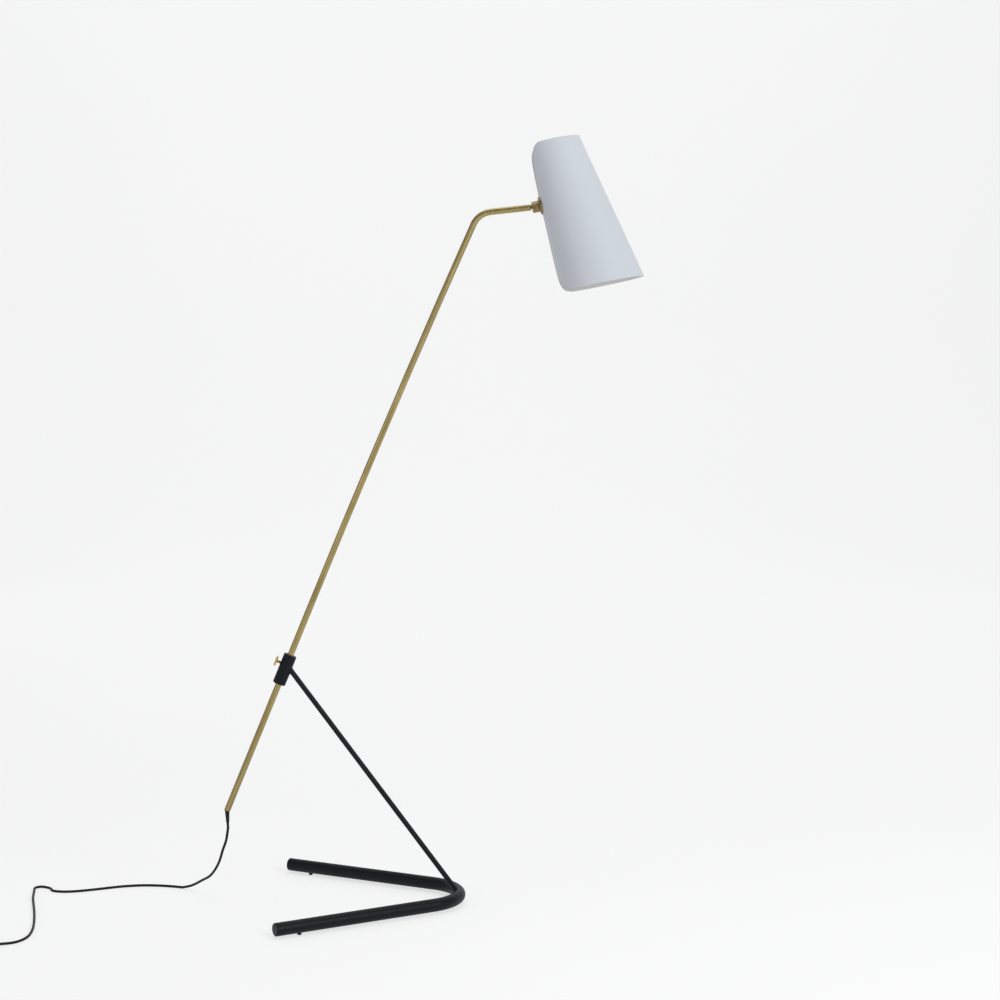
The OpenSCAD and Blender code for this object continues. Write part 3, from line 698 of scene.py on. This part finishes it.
BULB = [
    (12.9, -52), (12.9, -56), (13.4, -60), (14.8, -65), (17.5, -71), (21.2, -78), (25, -85.5), (28, -92.5),
    (29.6, -99), (30, -104), (29.5, -110), (27.9, -116), (25.2, -121.5), (21.4, -126), (16.8, -129.6),
    (11.6, -131.9), (5.9, -132.9), (0, -133)]
GLASS = 1
CROWN_FROM = -112        # below this height the inside of the glass rises, by GLASS at the crown
CROWN_OVER = 16
skin = [(max(p.x, 0), p.z) for p in spline([Vector((r, 0, z)) for r, z in BULB], 3)]
inside = [(max(r - GLASS, 0), z + GLASS * max(0, min(1, (CROWN_FROM - z) / CROWN_OVER))) for r, z in skin]
bulb = lathe("bulb_envelope", skin + inside[::-1], on_holder, TURN_STEPS, 60)
piece(bulb, "opal_glass", "shade", "bulb_glass")

# ---------------------------------------------------------------- foot switch

on_switch = Matrix.Translation(MM * SWITCH)
COVER = [
    (32, 17, 12, 9.15), (32, 17, 12, 17.4), (31.8, 16.8, 11.8, 18.6), (31.2, 16.2, 11.2, 19.8),
    (30.3, 15.3, 10.3, 20.8), (29.1, 14.1, 9.6, 21.5), (27.6, 12.9, 9.2, 21.9), (26, 12.2, 9.6, 22),
    (11.6, 11.6, 11.6, 22), (10.9, 10.9, 10.9, 21.8), (10.4, 10.4, 10.4, 21.3), (9.4, 9.4, 9.4, 21.2),
    (9.3, 9.3, 9.3, 21), (9.3, 9.3, 9.3, 19.7), (26, 12.5, 9, 19.7), (29.4, 14.4, 10, 18.4),
    (30, 15, 10, 17), (30, 15, 10, 9.15)]
shell = piece(loft("switch_shell", COVER, on_switch, False, 34), "black_plastic", "base", "switch_cover")
BUTTON = [
    (0, 15), (6, 15), (6, 16.5), (10.4, 16.5), (10.4, 18.6), (9, 18.6), (9, 24.4), (8.85, 25.1),
    (8.4, 25.7), (7.7, 26), (6.9, 25.95), (5.5, 25.55), (3.5, 25.25), (0, 25.15)]
knob_of_switch = lathe("switch_knob", BUTTON, on_switch, 72, 32)
button = piece(knob_of_switch, "gloss_button", "switch_button", "switch_button")

SPRING_R = 6.8
SPRING_WIRE = 0.45 * MM
SPRING_FOOT = 6.5
SPRING_LEN = 9.5
SPRING_TURNS = 5
SPRING_STEPS = 24        # round each turn


def spring_points():
    """A helix of wire between the switch's base and the button."""
    found = []
    for k in range(SPRING_TURNS * SPRING_STEPS + 1):
        a = 2 * math.pi * k / SPRING_STEPS
        z = SPRING_FOOT + SPRING_LEN * k / (SPRING_TURNS * SPRING_STEPS)
        found.append(on_switch @ (MM * Vector((SPRING_R * math.cos(a), SPRING_R * math.sin(a), z))))
    return found


spring = swept("switch_coil_spring", spring_points(), SPRING_WIRE, 8)
piece(spring, "spring_steel", "base", "switch_spring")
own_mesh(spring)

# ---------------------------------------------------------------- plug

PLUG = Vector((-881, -374, 7))
on_plug = at(MM * PLUG, (1, 0, 0), (0, 1, 0))         # Z points out of the pins' face, X across the pins
PIN = [(0, 6), (1.5, 6), (1.5, 18), (2, 18.02), (2, 35.2), (1.9, 36), (1.5, 36.6), (0.8, 36.95), (0, 37)]
PIN_OFF = 9.3


def plug_sections():
    """The ringed tail, the flaring grip with its six ridges, and the head, from the cord to the pins."""
    found = []
    for k in range(5):
        low, r = -26 + 1.7 * k, 3.2 + 0.36 * k
        for grow, up in ((0, 0), (0.1, 1.0), (-0.6, 1.1), (-0.6, 1.6)):
            found.append((r + grow, r + grow, r + grow, low + up))
    found.append((5.2, 5.2, 5.2, -17.5))
    for low, half_x, half_y, corner in (
            (-14, 7.2, 6.0, 5.2), (-11, 8.6, 6.5, 5.2), (-7.5, 10.2, 6.8, 5.1), (-4, 11.7, 7, 5),
            (-0.5, 13.2, 7, 4.9), (3, 14.7, 7, 4.7)):
        found.append((half_x, half_y, corner, low))
        found.append((half_x + 0.4, half_y, corner, low + 1.6))
        found.append((half_x - 0.1, half_y - 0.5, corner - 0.5, low + 1.8))
        found.append((half_x + 0.1, half_y - 0.5, corner - 0.5, low + 2.5))
    return found + [
        (15.9, 7, 4.6, 6), (16.7, 7, 4.4, 8.5), (17, 7, 4.2, 11), (17, 7, 4, 16.4), (16.8, 6.8, 3.8, 17.2),
        (16.2, 6.2, 3.2, 17.8), (15.4, 5.4, 2.6, 18)]


plug = loft("plug_moulding", plug_sections(), on_plug, crease=28)
piece(plug, "black_rubber", "base", "plug_body")
for side, off in (("left", PIN_OFF), ("right", -PIN_OFF)):
    pin = lathe("plug_pin_" + side, PIN, on_plug @ Matrix.Translation((MM * off, 0, 0)), 40, 30)
    piece(pin, "contact_brass", "base", "plug_pins")

# ---------------------------------------------------------------- tie round the coil

TIE = MM * (COIL + Vector((27.5, 0, 5.5)))
on_tie = at(TIE, (0, 1, 0), (1, 0, 0))
BAND_OUTSIDE = (10.5, 5.5, 3.4)
BAND_INSIDE = (10.05, 5.05, 3.0)
BAND = [
    (*BAND_OUTSIDE, -3.4), (*BAND_OUTSIDE, 3.4), (10.4, 5.4, 3.3, 3.7), (10.15, 5.15, 3.1, 3.7),
    (*BAND_INSIDE, 3.4), (*BAND_INSIDE, -3.4), (10.15, 5.15, 3.1, -3.7), (10.4, 5.4, 3.3, -3.7)]
tie = loft("coil_tie_band", BAND, on_tie, False, 50)
piece(tie, "black_plastic", "base", "coil_tie")
BUCKLE = [(2.4, 4.6, 0.8, 0), (2.4, 4.6, 0.8, 1.6), (2.2, 4.4, 0.7, 1.9), (1.8, 4.0, 0.5, 2.1)]
on_buckle = Matrix.Translation(TIE + Vector((0, 0, 5.2 * MM)))
buckle = loft("coil_tie_buckle", BUCKLE, on_buckle)
piece(buckle, "black_plastic", "base")

# ---------------------------------------------------------------- floor and light


def add_stage():
    """A pale floor that sweeps up into a backdrop far behind the object."""
    width, front, back, bend, top = 40.0, -60.0, 7.0, 3.0, 9.0
    bend_steps = 24
    line = [(front, 0.0), (back - bend, 0.0)]
    for i in range(1, bend_steps + 1):
        a = math.pi / 2 * i / bend_steps
        line.append((back - bend + bend * math.sin(a), bend - bend * math.cos(a)))
    line.append((back, top))
    vertices = [(x, y, z) for y, z in line for x in (-width, width)]
    faces = [(2 * i, 2 * i + 1, 2 * i + 3, 2 * i + 2) for i in range(len(line) - 1)]
    floor = mesh_object("studio_floor", vertices, faces, 180)
    look = Look("studio_floor", (0.5, 0.5, 0.5), rough=0.8)
    look.set(
        Base_Color=look.blend(look.noise(0.6, 2.0), (0.32, 0.323, 0.328), (0.34, 0.342, 0.345)),
        Specular_IOR_Level=0.05,
        Emission_Color=(1, 1, 1, 1),
        Emission_Strength=0.635,
    )
    floor.data.materials.append(look.material)


def area_light(name, place, target, size, power):
    """A white softbox at place that shines towards target."""
    light = bpy.data.lights.new(name, "AREA")
    light.shape = "RECTANGLE"
    light.size, light.size_y = size
    light.energy = power
    obj = bpy.data.objects.new(name, light)
    obj.matrix_world = at(Vector(place), Vector(place) - Vector(target))
    bpy.context.collection.objects.link(obj)


def add_light():
    """An even pale sky, softboxes at both sides and above, and one that lights the backdrop."""
    world = bpy.data.worlds.new("studio")
    world.use_nodes = True
    world.node_tree.nodes["Background"].inputs["Color"].default_value = (1, 1, 1, 1)
    world.node_tree.nodes["Background"].inputs["Strength"].default_value = 0.3
    bpy.context.scene.world = world
    area_light("key", (2.5, -3.1, 2.3), (0, 0, 0.8), (1.5, 2.4), 100)
    area_light("fill", (-3.2, -2.8, 1.6), (0, 0, 0.9), (1.2, 2.4), 20)
    area_light("top", (0.3, 0.6, 4.2), (0, 0, 0.4), (3.5, 3.0), 50)
    area_light("wall", (0.0, 2.8, 3.8), (0, 7.0, 1.6), (6.0, 1.0), 66)
    scene = bpy.context.scene
    scene.view_settings.view_transform = "Standard"
    scene.view_settings.look = "None"
    scene.view_settings.exposure = 0.0


add_stage()
add_light()
